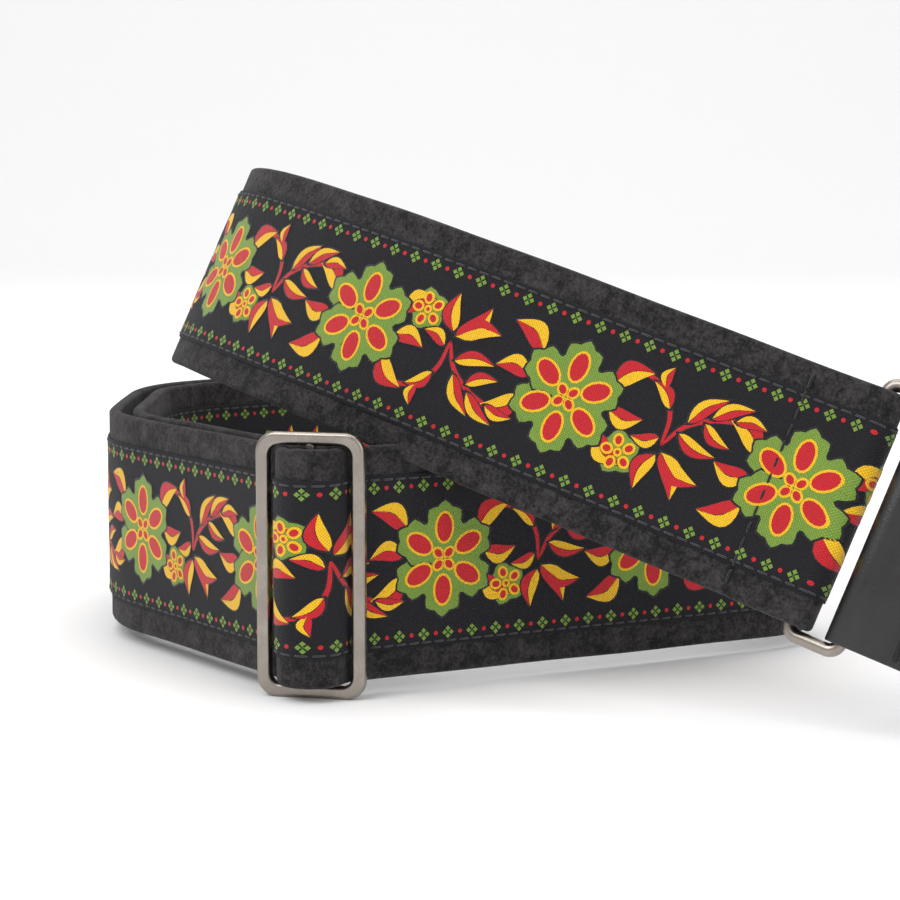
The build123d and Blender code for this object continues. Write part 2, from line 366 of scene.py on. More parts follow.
@dataclass(frozen=True)
class NickelFinish:
    """Warm nickel plate, brushed along one axis and a little tarnished."""

    colour: Colour = (0.33, 0.295, 0.26)
    brush_scale: float = 2400.0

    def material(self) -> bpy.types.Material:
        """Build the material."""
        graph = Graph("nickel")
        place = graph.place()
        inputs = {"Vector": place, "Scale": (1.0, 1.0, 0.06)}
        stretched = graph.node("ShaderNodeMapping", {"vector_type": "POINT"}, inputs)
        lines = graph.noise(stretched, self.brush_scale, 3.0, 0.6)
        cloud = graph.noise(place, 130.0, 5.0, 0.65)
        specks = graph.noise(place, 1500.0, 2.0)
        tarnish = ((cloud * 1.8 - 0.6).clamped() * 0.7 + specks * 0.25).clamped()
        return graph.surface(
            Base_Color=graph.blend(tarnish, shade(self.colour, 1.1), shade(self.colour, 0.6)),
            Roughness=(lines * 0.18 + tarnish * 0.14 + 0.17).clamped(),
            Metallic=1.0,
            Normal=graph.bump(lines * 0.5 + specks * 0.3, 0.00004, 0.6),
        )


@dataclass(frozen=True)
class FloorFinish:
    """A pale paper sweep."""

    colour: Colour = (0.93, 0.93, 0.935)

    def material(self) -> bpy.types.Material:
        """Build the material."""
        graph = Graph("floor")
        fine = graph.noise(graph.place(), 220.0, 4.0)
        return graph.surface(
            Base_Color=graph.blend(fine, shade(self.colour, 0.985), shade(self.colour, 1.01)),
            Roughness=(fine * 0.1 + 0.6).clamped(),
            Normal=graph.bump(fine, 0.00004, 0.3),
        )


YARN_COLOURS: dict[Yarn, Colour] = {
    Yarn.OUTLINE: (0.012, 0.012, 0.016),
    Yarn.GREEN: (0.20, 0.33, 0.045),
    Yarn.DARK_GREEN: (0.04, 0.10, 0.03),
    Yarn.RED: (0.60, 0.012, 0.022),
    Yarn.YELLOW: (0.95, 0.55, 0.012),
}


# ---- meshes


@dataclass
class MeshDraft:
    """Points, faces and UVs gathered for one object; points are in metres."""

    points: list[np.ndarray] = field(default_factory=list)
    coords: list[np.ndarray] = field(default_factory=list)
    faces: list[tuple[int, ...]] = field(default_factory=list)
    count: int = 0

    def add(self, points: np.ndarray, coords: np.ndarray) -> int:
        """Add points.

        Args:
            points: an array of positions, with any number of leading axes.
            coords: a UV in metres for each.

        Returns:
            The index of the first one.
        """
        first = self.count
        self.points.append(points.reshape(-1, 3))
        self.coords.append(coords.reshape(-1, 2))
        self.count += len(self.points[-1])
        return first

    def grid(self, points: np.ndarray, coords: np.ndarray, closed: bool = False, caps: bool = False) -> None:
        """Add a grid of quads.

        Args:
            points: positions, rows by columns.
            coords: UVs, rows by columns.
            closed: whether each row is a closed ring.
            caps: whether the first and last rings are filled.
        """
        rows, columns = points.shape[:2]
        first = self.add(points, coords)
        around = columns if closed else columns - 1
        for row in range(rows - 1):
            low, high = first + row * columns, first + (row + 1) * columns
            for i in range(around):
                j = (i + 1) % columns
                self.faces.append((low + i, low + j, high + j, high + i))
        if caps:
            self.faces.append(tuple(first + i for i in reversed(range(columns))))
            self.faces.append(tuple(first + (rows - 1) * columns + i for i in range(columns)))

    def drape(
        self, surface: Mapping, along: np.ndarray, across: np.ndarray, out: np.ndarray, closed: bool = False,
        caps: bool = False,
    ) -> None:
        """Add a grid that lies on a surface, with its UV in metres along and across.

        Args:
            surface: turns the three values into points.
            along: millimetres along the surface, rows by columns or fewer.
            across: millimetres across it.
            out: millimetres out from it.
            closed: whether each row is a closed ring.
            caps: whether the first and last rings are filled.
        """
        along, across, out = np.broadcast_arrays(along, across, out)
        self.grid(surface(along, across, out), np.stack([along, across], -1) * MM, closed, caps)

    def build(self, name: str, material: bpy.types.Material, sharp: float = 50.0) -> bpy.types.Object:
        """Make the object.

        Args:
            name: its name.
            material: its material.
            sharp: the angle in degrees above which an edge isn't smoothed.

        Returns:
            The object.
        """
        positions, coords = np.concatenate(self.points), np.concatenate(self.coords)
        work = bmesh.new()
        verts = [work.verts.new(p) for p in positions.tolist()]
        layer = work.loops.layers.uv.new("UVMap")
        for indices in self.faces:
            face = work.faces.new([verts[i] for i in indices])
            for loop, i in zip(face.loops, indices):
                loop[layer].uv = coords[i].tolist()
        bmesh.ops.recalc_face_normals(work, faces=work.faces)
        mesh = bpy.data.meshes.new(name)
        work.to_mesh(mesh)
        work.free()
        return finished(mesh, name, material, sharp)


def finished(
    mesh: bpy.types.Mesh, name: str, material: bpy.types.Material, sharp: float
) -> bpy.types.Object:
    """Put a mesh in the scene with its material, smooth below an angle.

    Args:
        mesh: the mesh.
        name: the object's name.
        material: its material.
        sharp: the angle in degrees above which an edge isn't smoothed.

    Returns:
        The object.
    """
    mesh.materials.clear()
    mesh.materials.append(material)
    mesh.shade_smooth()
    mesh.set_sharp_from_angle(angle=math.radians(sharp))
    made = bpy.data.objects.new(name, mesh)
    bpy.context.scene.collection.objects.link(made)
    return made


# ---- the band's path


def way_of(heading: float) -> tuple[float, float]:
    """Find the unit vector of a heading in degrees."""
    return math.cos(math.radians(heading)), math.sin(math.radians(heading))


def ahead(spot: Spot, length: float) -> Spot:
    """Go straight on from a spot."""
    (x, y, heading), way = spot, way_of(spot[2])
    return (x + length * way[0], y + length * way[1], heading)


def turn(spot: Spot, radius: float, angle: float) -> Spot:
    """Go round an arc from a spot; a positive angle turns left."""
    x, y, heading = spot
    side, old, new = math.copysign(radius, angle), way_of(heading), way_of(heading + angle)
    return (x + side * (new[1] - old[1]), y - side * (new[0] - old[0]), heading + angle)


def beside(spot: Spot, offset: float) -> tuple[float, float]:
    """Find the point this far to the left of a spot."""
    (x, y, _), way = spot, way_of(spot[2])
    return (x - offset * way[1], y + offset * way[0])


@dataclass(frozen=True)
class Leg:
    """A straight or an arc, in millimetres and degrees."""

    start: Spot
    length: float
    angle: float = 0.0

    def at(self, share: float) -> Spot:
        """Find the spot this share of the way along."""
        if not self.angle:
            return ahead(self.start, self.length * share)
        return turn(self.start, self.length / abs(math.radians(self.angle)), self.angle * share)

    def turned(self) -> Leg:
        """Walk the leg from its other end."""
        x, y, heading = self.at(1)
        return Leg((x, y, heading + 180), self.length, -self.angle)

    def shares(self) -> np.ndarray:
        """Space stations along the leg, closer where it bends tightly."""
        count = max(math.ceil(self.length / 5), math.ceil(abs(self.angle) / 5), 1)
        return np.linspace(0, 1, count + 1)


def walk(spot: Spot, steps: Sequence[tuple[float, ...]]) -> list[Leg]:
    """Walk a run.

    Args:
        spot: where it starts.
        steps: (length,) for a straight and (radius, angle) for an arc.

    Returns:
        Its legs.
    """
    legs = []
    for step in steps:
        bends = len(step) == 2
        leg = Leg(spot, step[0] * abs(math.radians(step[1])), step[1]) if bends else Leg(spot, step[0])
        legs.append(leg)
        spot = leg.at(1)
    return legs


@dataclass
class Coil:
    """The band's run from its hem at the front ring to its hem at the slider, in millimetres."""

    half_band: float = 1.4
    layer_gap: float = 0.15
    loop_radius: float = 3.15
    sewn_spacing: float = 2.95
    hem_lean: float = 45.0
    hem_tail: float = 6.0
    slider_tail: float = 12.0
    untwist_stations: int = 48
    mid_height: float = 28.5
    lean: np.ndarray = field(default_factory=lambda: unit(np.array([0.39, 0.12, 0.913])))
    upper_centre: np.ndarray = field(default_factory=lambda: np.array([-87.7, -5.2, 86.1]))
    front_bar: Spot = (140.8, -104.9, -24.5)
    slider: tuple[float, float] = (-65.1, -86.0)
    slider_heading: float = -13.7
    wall_angle: float = 41.4
    saddle_radius: float = 6.0
    wall_from_centre: float = 10.5 * math.sin(math.radians(41.4)) - 4.25
    ring_spacing: float = 11.1
    ribbon_stop: float = 30.0
    upper_x: np.ndarray = field(init=False)
    upper_y: np.ndarray = field(init=False)
    outward: np.ndarray = field(init=False)
    centre: np.ndarray = field(init=False)
    way: np.ndarray = field(init=False)
    across: np.ndarray = field(init=False)
    along: np.ndarray = field(init=False)
    leg_starts: list[float] = field(init=False)
    rear_bar: Spot = field(init=False)

    def __post_init__(self) -> None:
        """Walk the whole run and take stations along it."""
        self.upper_x = unit(np.array([1.0, 0, 0]) - self.lean * self.lean[0])
        self.upper_y = np.cross(self.lean, self.upper_x)
        upper = self.upper_legs()
        right, left, inner = self.lower_legs()
        lower = [leg.turned() for leg in reversed(right)] + left + inner
        rows: list[tuple[np.ndarray, np.ndarray, np.ndarray]] = []
        starts: list[int] = []
        for leg in upper:
            starts.append(max(len(rows) - 1, 0))
            rows += [self.leaning(leg.at(t)) for t in leg.shares()[1 if rows else 0:]]
        starts.append(len(rows) - 1)
        untwist = np.linspace(0, 1, self.untwist_stations + 1)[1:]
        rows += [self.untwisting(upper[-1].at(1), right[-1].at(1), share) for share in untwist]
        for leg in lower:
            starts.append(len(rows) - 1)
            rows += [self.upright(leg.at(t)) for t in leg.shares()[1:]]
        self.centre, self.way, self.across = (np.array(part) for part in zip(*rows))
        steps = np.linalg.norm(np.diff(self.centre, axis=0), axis=1)
        self.along = np.concatenate([[0.0], np.cumsum(steps)])
        self.leg_starts = [float(self.along[i]) for i in starts]
        self.outward = np.cross(self.across, self.way)

    def upper_legs(self) -> list[Leg]:
        """Walk the leaning part: hem, ring, front, left fold and back."""
        level, rise = way_of(self.hem_lean)
        hem_radius = (self.loop_radius * (1 + level) - self.sewn_spacing) / (1 - level)
        reach = (self.loop_radius + hem_radius) * rise + self.hem_tail
        start = (*beside(self.front_bar, self.sewn_spacing - self.loop_radius), self.front_bar[2])
        steps = [(self.hem_tail,), (hem_radius, self.hem_lean), (self.loop_radius, -180 - self.hem_lean)]
        steps += [(83.0,), (146.0, -30.2), (56.0, -35.3), (24.0, -97.4), (50.7,)]
        return walk(ahead(start, -reach), steps)

    def lower_legs(self) -> tuple[list[Leg], list[Leg], list[Leg]]:
        """Walk the upright part, both ways from the hump over the slider's centre bar.

        Returns:
            The legs to the right turn, those to the rear ring, and those back to the slider inside.
        """
        hump = self.loop_radius + 2 * self.half_band + self.layer_gap
        reach = self.wall_from_centre + self.saddle_radius
        saddle = math.degrees(math.acos(reach / (hump + self.saddle_radius)))
        bend = self.wall_angle + saddle
        apex = beside((*self.slider, self.slider_heading), -hump)
        right = walk(
            (*apex, self.slider_heading),
            [
                (hump, bend), (self.saddle_radius, -saddle), (107.0,),
                (23.0, 90 - self.slider_heading - self.wall_angle),
            ],
        )
        left = walk(
            (*apex, self.slider_heading + 180),
            [
                (hump, -bend), (self.saddle_radius, saddle), (63.0,),
                (48.0, -34.9), (36.0,), (43.0, -55.0), (70.0,),
            ],
        )
        end = left[-1].at(1)
        self.rear_bar = (*beside(end, -self.loop_radius), end[2])
        back = turn(end, self.loop_radius, -180)
        last_heading = self.slider_heading + 360 - self.wall_angle
        arrival = beside((*self.slider, last_heading), self.loop_radius)
        folds = [(35.0, 55.0), (37.0,), (40.0, 34.9)]
        shift = walk((0.0, 0.0, back[2]), folds)[-1].at(1)
        first_way, last_way = ahead((0, 0, back[2]), 1), ahead((0, 0, shift[2]), 1)
        ways = np.array([first_way[:2], last_way[:2]]).T
        gap = np.array([arrival[0] - back[0] - shift[0], arrival[1] - back[1] - shift[1]])
        first, last = np.linalg.solve(ways, gap)
        tail = hump + self.saddle_radius - self.loop_radius
        steps = [(self.loop_radius, -180), (float(first),), *folds, (float(last),)]
        steps += [(self.loop_radius, -180 - saddle), (tail, saddle), (self.slider_tail,)]
        return right, left, walk(end, steps)

    def leaning(self, spot: Spot) -> tuple[np.ndarray, np.ndarray, np.ndarray]:
        """Find the band's centre, way and across at a spot of the leaning part."""
        x, y = way_of(spot[2])
        way = self.upper_x * x + self.upper_y * y
        return self.upper_centre + self.upper_x * spot[0] + self.upper_y * spot[1], way, self.lean

    def upright(self, spot: Spot) -> tuple[np.ndarray, np.ndarray, np.ndarray]:
        """Find the band's centre, way and across at a spot of the upright part."""
        way = np.array([*way_of(spot[2]), 0.0])
        return np.array([spot[0], spot[1], self.mid_height]), way, np.array([0.0, 0.0, 1.0])

    def untwisting(self, start: Spot, end: Spot, share: float) -> tuple[np.ndarray, np.ndarray, np.ndarray]:
        """Find the band between its leaning part and the upright right turn.

        Args:
            start: the leaning part's last spot.
            end: the spot at the right turn, on the floor plan.
            share: how far along the stretch.

        Returns:
            The centre, the way along and the way across.
        """
        origin, way, _ = self.leaning(start)
        heading = math.degrees(math.atan2(way[1], way[0]))
        level = math.hypot(way[0], way[1])
        corner = (end[0] - origin[0]) / way_of(heading)[0]
        corner_y = origin[1] + corner * way_of(heading)[1]
        bend = 90 + heading
        radius = (corner_y - end[1]) / math.tan(math.radians(bend / 2))
        straight = corner - (corner_y - end[1])
        length = straight + radius * math.radians(bend)
        at = share * length
        spot = ahead((origin[0], origin[1], heading), min(at, straight))
        if at > straight:
            spot = turn(spot, radius, -math.degrees((at - straight) / radius))
        drop, fall = origin[2] - self.mid_height, way[2] / level * length
        height = drop * (2 * share**3 - 3 * share**2 + 1) + fall * (share**3 - 2 * share**2 + share)
        slope = (drop * (6 * share**2 - 6 * share) + fall * (3 * share**2 - 4 * share + 1)) / length
        way = unit(np.array([*way_of(spot[2]), slope]))
        raised = share**2 * (3 - 2 * share)
        across = self.lean * (1 - raised) + np.array([0.0, 0.0, raised])
        centre = np.array([spot[0], spot[1], self.mid_height + height])
        return centre, way, unit(across - way * across.dot(way))

    def point(self, along: np.ndarray, across: np.ndarray, out: np.ndarray) -> np.ndarray:
        """Find points on the band.

        Args:
            along: millimetres from the hem.
            across: millimetres up from the band's middle line.
            out: millimetres out from its middle layer, on the ribbon's side.

        Returns:
            The points, in metres.
        """
        along, across, out = np.broadcast_arrays(along, across, out)

        def read(table: np.ndarray) -> np.ndarray:
            """Read a table of stations at these places."""
            return np.stack([np.interp(along, self.along, table[:, i]) for i in range(3)], axis=-1)

        sideways = read(self.across) * across[..., None] + read(self.outward) * out[..., None]
        return (read(self.centre) + sideways) * MM

    def tab(self, end: End) -> TabFrame:
        """Find the frame of a leather end, on its ring's outer bar."""
        if end is End.FRONT:
            origin, along, across = self.leaning(self.front_bar)
            side = -1
        else:
            origin, along, across = self.upright(self.rear_bar)
            side = 1
        out = np.cross(across, along) * side
        return TabFrame(origin + along * self.ring_spacing, along, across, out)

    def stations(self, first: float, last: float) -> np.ndarray:
        """List the stations between two places along the band, with both ends."""
        inside = self.along[(self.along > first + 0.05) & (self.along < last - 0.05)]
        return np.concatenate([[first], inside, [last]])


@dataclass(frozen=True)
class TabFrame:
    """A leather end's own frame: along it, across it, and out from its middle on the panel's side."""

    origin: np.ndarray
    along: np.ndarray
    across: np.ndarray
    out: np.ndarray

    def point(self, along: np.ndarray, across: np.ndarray, out: np.ndarray) -> np.ndarray:
        """Find points by their millimetres along, across and out, in metres."""
        values = np.stack(np.broadcast_arrays(along, across, out), axis=-1)
        return (self.origin + values @ np.array([self.along, self.across, self.out])) * MM


def unit(vector: np.ndarray) -> np.ndarray:
    """Scale a vector to length 1."""
    return vector / np.linalg.norm(vector)


# ---- pieces


def rounded_profile(half_width: float, low: float, high: float, radius: float) -> np.ndarray:
    """Lay out a rounded rectangle as (across, out) points, counter-clockwise from its lower right."""
    middle, half = (low + high) / 2, (high - low) / 2
    points = []
    for corner, (x, y) in enumerate(((1, 1), (-1, 1), (-1, -1), (1, -1))):
        for step in range(6):
            angle = math.radians(90 * corner + 18 * step)
            reach = (half_width - radius, half - radius)
            curve = (radius * math.cos(angle), radius * math.sin(angle))
            points.append((x * reach[0] + curve[0], middle + y * reach[1] + curve[1]))
    return np.array(points)


@dataclass
class StitchRow:
    """A row of separate stitches on a surface."""

    surface: Mapping
    radius: float = 0.25
    length: float = 2.5
    gap: float = 0.55
    sides: int = 8
    seed: int = 3

    def lay(self, draft: MeshDraft, line: np.ndarray, height: float) -> None:
        """Sew along a line.

        Args:
            draft: gathers the stitches.
            line: the line's points on the surface, (along, across) in millimetres.
            height: the face's height, in millimetres.
        """
        chance = random.Random(self.seed)
        lengths = np.concatenate([[0.0], np.cumsum(np.linalg.norm(np.diff(line, axis=0), axis=1))])
        count = max(int(lengths[-1] / (self.length + self.gap)), 1)
        pitch = lengths[-1] / count
        for i in range(count):
            low = i * pitch + self.gap / 2 + chance.uniform(-0.06, 0.06)
            high = (i + 1) * pitch - self.gap / 2 + chance.uniform(-0.06, 0.06)
            ends = [np.array([np.interp(at, lengths, line[:, k]) for k in (0, 1)]) for at in (low, high)]
            self.stitch(draft, ends[0], ends[1], height, chance.uniform(-0.05, 0.05))

    def stitch(
        self, draft: MeshDraft, start: np.ndarray, end: np.ndarray, height: float, skew: float
    ) -> None:
        """Add one stitch.

        Args:
            draft: gathers it.
            start: its first end, (along, across).
            end: its second end.
            height: the face's height.
            skew: how far its second end is off the line.
        """
        way = (end - start) / np.linalg.norm(end - start)
        side = np.array([-way[1], way[0]])
        end = end + side * skew
        shares = np.array([0.0, 0.07, 0.25, 0.5, 0.75, 0.93, 1.0])
        swell = np.array([0.35, 0.8, 1.0, 1.05, 1.0, 0.8, 0.35]) * self.radius
        sink = np.array([-0.8, -0.15, 0.25, 0.35, 0.25, -0.15, -0.8]) * self.radius
        turn_at = np.linspace(0, 2 * math.pi, self.sides, endpoint=False)
        spine = start + np.outer(shares, end - start)
        off = np.outer(swell, np.cos(turn_at))
        spots = spine[:, None, :] + off[..., None] * side
        heights = height + sink[:, None] + np.outer(swell, np.sin(turn_at)) * 0.75
        coords = np.broadcast_arrays((shares * self.length)[:, None], turn_at * self.radius)
        coords = np.stack(coords, -1) * MM
        draft.grid(self.surface(spots[..., 0], spots[..., 1], heights), coords, closed=True, caps=True)


@dataclass
class Band:
    """The padded suede band, with its two sewn hems."""

    coil: Coil
    half_width: float = 25.4
    edge_radius: float = 1.1
    wander: float = 0.12
    hem_seam: float = 14.0
    slider_seam: float = 13.0
    seam_margin: float = 2.5

    def length(self) -> float:
        """Measure the band from hem to hem, in millimetres."""
        return float(self.coil.along[-1])

    def build(self, finish: bpy.types.Material) -> bpy.types.Object:
        """Make the band's body, a little uneven along its two long edges."""
        stations = self.coil.stations(0.0, self.length())
        half_band = self.coil.half_band
        profile = rounded_profile(self.half_width, -half_band, half_band, self.edge_radius)
        wander = self.wander * (np.sin(stations / 9.0 + 0.6) * np.sin(stations / 23.0) - 1)
        across = profile[None, :, 0] * (1 + wander[:, None] / self.half_width)
        draft = MeshDraft()
        draft.drape(self.coil.point, stations[:, None], across, profile[None, :, 1], closed=True, caps=True)
        return draft.build("suede_band", finish, 60.0)

    def build_seams(self, finish: bpy.types.Material) -> bpy.types.Object:
        """Make the rows of stitching across the band that close its two hems."""
        coil, reach = self.coil, self.half_width - self.seam_margin
        row = StitchRow(coil.point, radius=0.3, length=2.6, gap=0.7, seed=11)
        draft = MeshDraft()
        face = coil.half_band + Ribbon.thickness
        last = coil.leg_starts[-3] - self.slider_seam
        for at, height in ((coil.leg_starts[3] + self.hem_seam, face), (3.0, face), (last, coil.half_band)):
            row.lay(draft, np.array([[at, -reach], [at, reach]]), height)
        return draft.build("hem_seams", finish)


@dataclass
class Ribbon:
    """The woven ribbon on the band's outer face, sewn down along both edges."""

    coil: Coil
    half_width: float = 19.0
    thickness: float = 0.5
    seam_inset: float = 1.0

    def last(self) -> float:
        """Find where the ribbon ends, short of the slider."""
        return self.coil.leg_starts[-3] - self.coil.ribbon_stop

    def face(self) -> float:
        """Find its face's height over the band's middle layer."""
        return self.coil.half_band + self.thickness

    def build(self, finish: bpy.types.Material) -> bpy.types.Object:
        """Make the ribbon, drawn down a little where it is sewn."""
        stations = self.coil.stations(0.0, self.last())
        edge, sewn = self.half_width, self.half_width - self.seam_inset
        half = [(0.0, 0.0), (6.0, 0.0), (12.0, 0.0), (sewn - 0.7, 0.0), (sewn, -0.12), (edge - 0.3, -0.05)]
        half += [(edge - 0.05, -0.18), (edge, -0.6)]
        profile = np.array([(-x, y) for x, y in reversed(half[1:])] + half)
        draft = MeshDraft()
        heights = profile[None, :, 1] + self.face()
        draft.drape(self.coil.point, stations[:, None], profile[None, :, 0], heights)
        return draft.build("ribbon", finish, 60.0)

    def build_edges(self, finish: bpy.types.Material) -> bpy.types.Object:
        """Make the two rows of stitching along the ribbon's edges."""
        draft, row = MeshDraft(), StitchRow(self.coil.point)
        stations = self.coil.stations(0.6, self.last() - 0.6)
        for side in (-1, 1):
            across = np.full_like(stations, side * (self.half_width - self.seam_inset))
            line = np.stack([stations, across], -1)
            row.lay(draft, line, self.face() - 0.08)
        return draft.build("ribbon_stitches", finish)


@dataclass
class Pattern:
    """The ribbon's woven folk pattern: two borders, and flowers on a scroll between them."""

    ribbon: Ribbon
    pitch: float = 53.0
    phase: float = 33.5
    border: float = 16.2
    border_pitch: float = 53.0 / 9
    flower_scale: float = 1.04
    drafts: dict[Yarn, MeshDraft] = field(default_factory=lambda: {yarn: MeshDraft() for yarn in Yarn})

    def shape(self, place: Place, yarn: Yarn, outline: np.ndarray, level: Level, lift: float = 0.0) -> None:
        """Add one raised patch.

        Args:
            place: puts it on the ribbon.
            yarn: what it is woven in.
            outline: its outline, (along, across) in millimetres.
            level: how high it stands.
            lift: how much higher than that, in millimetres.
        """
        outline = place.put(outline)
        low, high = 0.3, self.ribbon.last() - 0.3
        if outline[:, 0].min() < low or outline[:, 0].max() > high:
            return
        bends = self.ribbon.coil.along
        tight = np.count_nonzero((bends > outline[:, 0].min()) & (bends < outline[:, 0].max())) > 4
        if tight:
            halfway = (outline + np.roll(outline, -1, axis=0)) / 2
            outline = np.stack([outline, halfway], axis=1).reshape(-1, 2)
        middle = outline.mean(axis=0)
        shares = np.concatenate([[1.0], np.linspace(0.96, 0.04, 12 if tight else 4)])
        heights = np.full(len(shares), self.ribbon.face() + level.value + lift)
        heights[0] = self.ribbon.face() - 0.05
        rings = middle + shares[:, None, None] * (outline - middle)
        draft = self.drafts[yarn]
        first = draft.count
        draft.drape(self.ribbon.coil.point, rings[..., 0], rings[..., 1], heights[:, None], closed=True)
        inner = first + (len(shares) - 1) * len(outline)
        draft.faces.append(tuple(inner + i for i in range(len(outline))))

    def stroke(self, yarn: Yarn, line: np.ndarray, width: float, level: Level) -> None:
        """Add a raised stroke.

        Args:
            yarn: what it is woven in.
            line: its middle line, (along, across) in millimetres.
            width: its width in the middle; it tapers to both ends.
            level: how high it stands.
        """
        if line[:, 0].min() < 1 or line[:, 0].max() > self.ribbon.last() - 1:
            return
        line = smooth_line(line, 1.0)
        way = np.gradient(line, axis=0)
        way /= np.linalg.norm(way, axis=1)[:, None]
        side = np.stack([-way[:, 1], way[:, 0]], -1)
        share = np.linspace(0, 1, len(line))
        half = width / 2 * (0.35 + 0.65 * np.sin(math.pi * share) ** 0.5)
        offsets, lift = np.array([-1.0, -0.9, 0.0, 0.9, 1.0]), np.array([-0.05, 1, 1, 1, -0.05])
        lift = np.where(lift > 0, level.value, lift)
        spots = line[:, None, :] + (half[:, None] * offsets)[..., None] * side[:, None, :]
        heights = self.ribbon.face() + lift[None, :]
        self.drafts[yarn].drape(self.ribbon.coil.point, spots[..., 0], spots[..., 1], heights)

    def leaf(
        self, base: tuple[float, float], angle: float, size: tuple[float, float], place: Place, lift: float
    ) -> None:
        """Add a curved, pointed leaf, red on one side of its rib and yellow on the other.

        Args:
            base: where it starts.
            angle: which way it points, in degrees.
            size: its length and width; a negative width curves it the other way.
            place: puts it on the ribbon.
            lift: how much higher it stands than the first leaf, in millimetres.
        """
        length, width = size
        share = np.linspace(0, 1, 9)
        bulge = np.sin(math.pi * share**0.75) * abs(width) / 2
        sag = np.sin(math.pi * share) * 0.32 * -width
        rib = np.stack([share * length, sag], -1)
        upper, lower = (np.stack([share * length, sag + sign * bulge], -1) for sign in (1, -1))
        whole = np.concatenate([lower, upper[::-1][1:-1]])
        grown = whole.mean(axis=0) + (whole - whole.mean(axis=0)) * (1 + 0.6 / abs(width))
        self.shape(place, Yarn.OUTLINE, spun(grown, angle) + base, Level.EDGE, lift)
        sides = ((Yarn.RED, upper, 1), (Yarn.YELLOW, lower, -1))
        for yarn, edge, sign in sides:
            half = np.concatenate([rib[:-1], edge[::-1][:-1]]) + (0, sign * 0.06)
            self.shape(place, yarn, spun(half, angle) + base, Level.LOW, lift)

    def eye(self, spot: np.ndarray, angle: float, size: tuple[float, float], place: Place) -> None:
        """Add a red drop with a yellow rim.

        Args:
            spot: its middle.
            angle: which way it points, in degrees.
            size: its half-length and half-width.
            place: puts it on the ribbon.
        """
        for yarn, level, rim in ((Yarn.YELLOW, Level.HIGH, 0.55), (Yarn.RED, Level.TOP, 0.0)):
            outline = lobed(1.0, 1, 0.0) * (size[0] + rim, size[1] + rim)
            self.shape(place, yarn, spun(outline, angle) + spot, level)

    def flower(self, place: Place) -> None:
        """Add a large flower: leaves on both sides, six scalloped petals, and an eye on each."""
        leaves = (
            ((8.5, -7.0), -26, (9.8, 5.2)), ((9.6, 3.5), 30, (9.4, -4.8)), ((9.4, -1.5), 4, (8.4, 4.4)),
            ((-8.5, -6.0), 214, (9.6, -5.0)), ((-9.6, 4.5), 148, (8.4, 4.6)), ((-9.8, -1.0), 184, (8.0, 4.2)),
        )
        for k, (base, angle, size) in enumerate(leaves):
            self.leaf(base, angle, size, place, 0.005 * k)
        for k in range(6):
            angle = 28 + 60 * k
            way = np.array(way_of(angle))
            spot = way * 6.9 * self.flower_scale
            petal = spun(lobed(5.0 * self.flower_scale, 7, 0.10) * (1.0, 0.9), angle) + spot
            self.shape(place, Yarn.OUTLINE, spot + (petal - spot) * 1.09, Level.UNDER, 0.01 * k)
            self.shape(place, Yarn.GREEN, petal, Level.MIDDLE, 0.01 * k)
            self.eye(spot - way * 0.4, angle, (3.2, 1.9), place)
        self.shape(place, Yarn.GREEN, lobed(3.2, 7, 0.04), Level.MIDDLE, 0.055)
        for k in range(4):
            angle = 45 + 90 * k
            way = np.array(way_of(angle))
            self.eye(way * 1.8, angle, (1.1, 0.8), place)

    def small_flower(self, spot: tuple[float, float], place: Place) -> None:
        """Add a small five-petalled flower."""
        self.shape(place, Yarn.OUTLINE, lobed(4.9, 5, 0.12) + spot, Level.EDGE)
        self.shape(place, Yarn.GREEN, lobed(4.5, 5, 0.13) + spot, Level.LOW)
        for k in range(5):
            angle = 72 * k
            way = np.array(way_of(angle))
            self.eye(way * 2.55 + spot, angle, (0.95, 0.75), place)
        self.eye(np.array(spot), 0.0, (0.45, 0.45), place)

    def scroll(self, place: Place) -> None:
        """Add the scroll that links a flower to the next: stems, small flower, leaves and spray."""
        arch = np.array([(29.5, -2.0), (30.0, 4.0), (33.0, 8.6), (38.0, 10.6), (43.5, 9.2)])
        rib = np.array([(29.5, -2.0), (26.5, 3.0), (21.5, 6.4), (15.5, 8.0)])
        for line in (arch, rib):
            self.stroke(Yarn.OUTLINE, place.put(line), 1.9, Level.EDGE)
            self.stroke(Yarn.RED, place.put(line), 1.1, Level.LOW)
        self.small_flower((37.6, -6.6), place)
        leaves = (
            ((26.0, 4.2), 132, (10.0, 3.3)), ((21.5, 6.8), 150, (9.4, 3.0)), ((16.5, 8.0), 176, (7.0, 2.6)),
            ((27.0, 1.6), 192, (9.6, -3.2)), ((22.5, 5.4), 204, (7.6, -2.8)), ((30.6, 5.6), 38, (7.0, -3.0)),
            ((33.4, 9.4), 96, (4.6, 2.6)), ((29.0, -3.2), 236, (10.4, 4.6)), ((28.0, -4.0), 198, (9.6, -4.4)),
            ((29.8, -4.0), 282, (8.6, -4.2)), ((30.4, -0.6), -16, (6.4, 3.0)),
        )
        for k, (base, angle, size) in enumerate(leaves):
            self.leaf(base, angle, size, place, 0.025 + 0.005 * k)

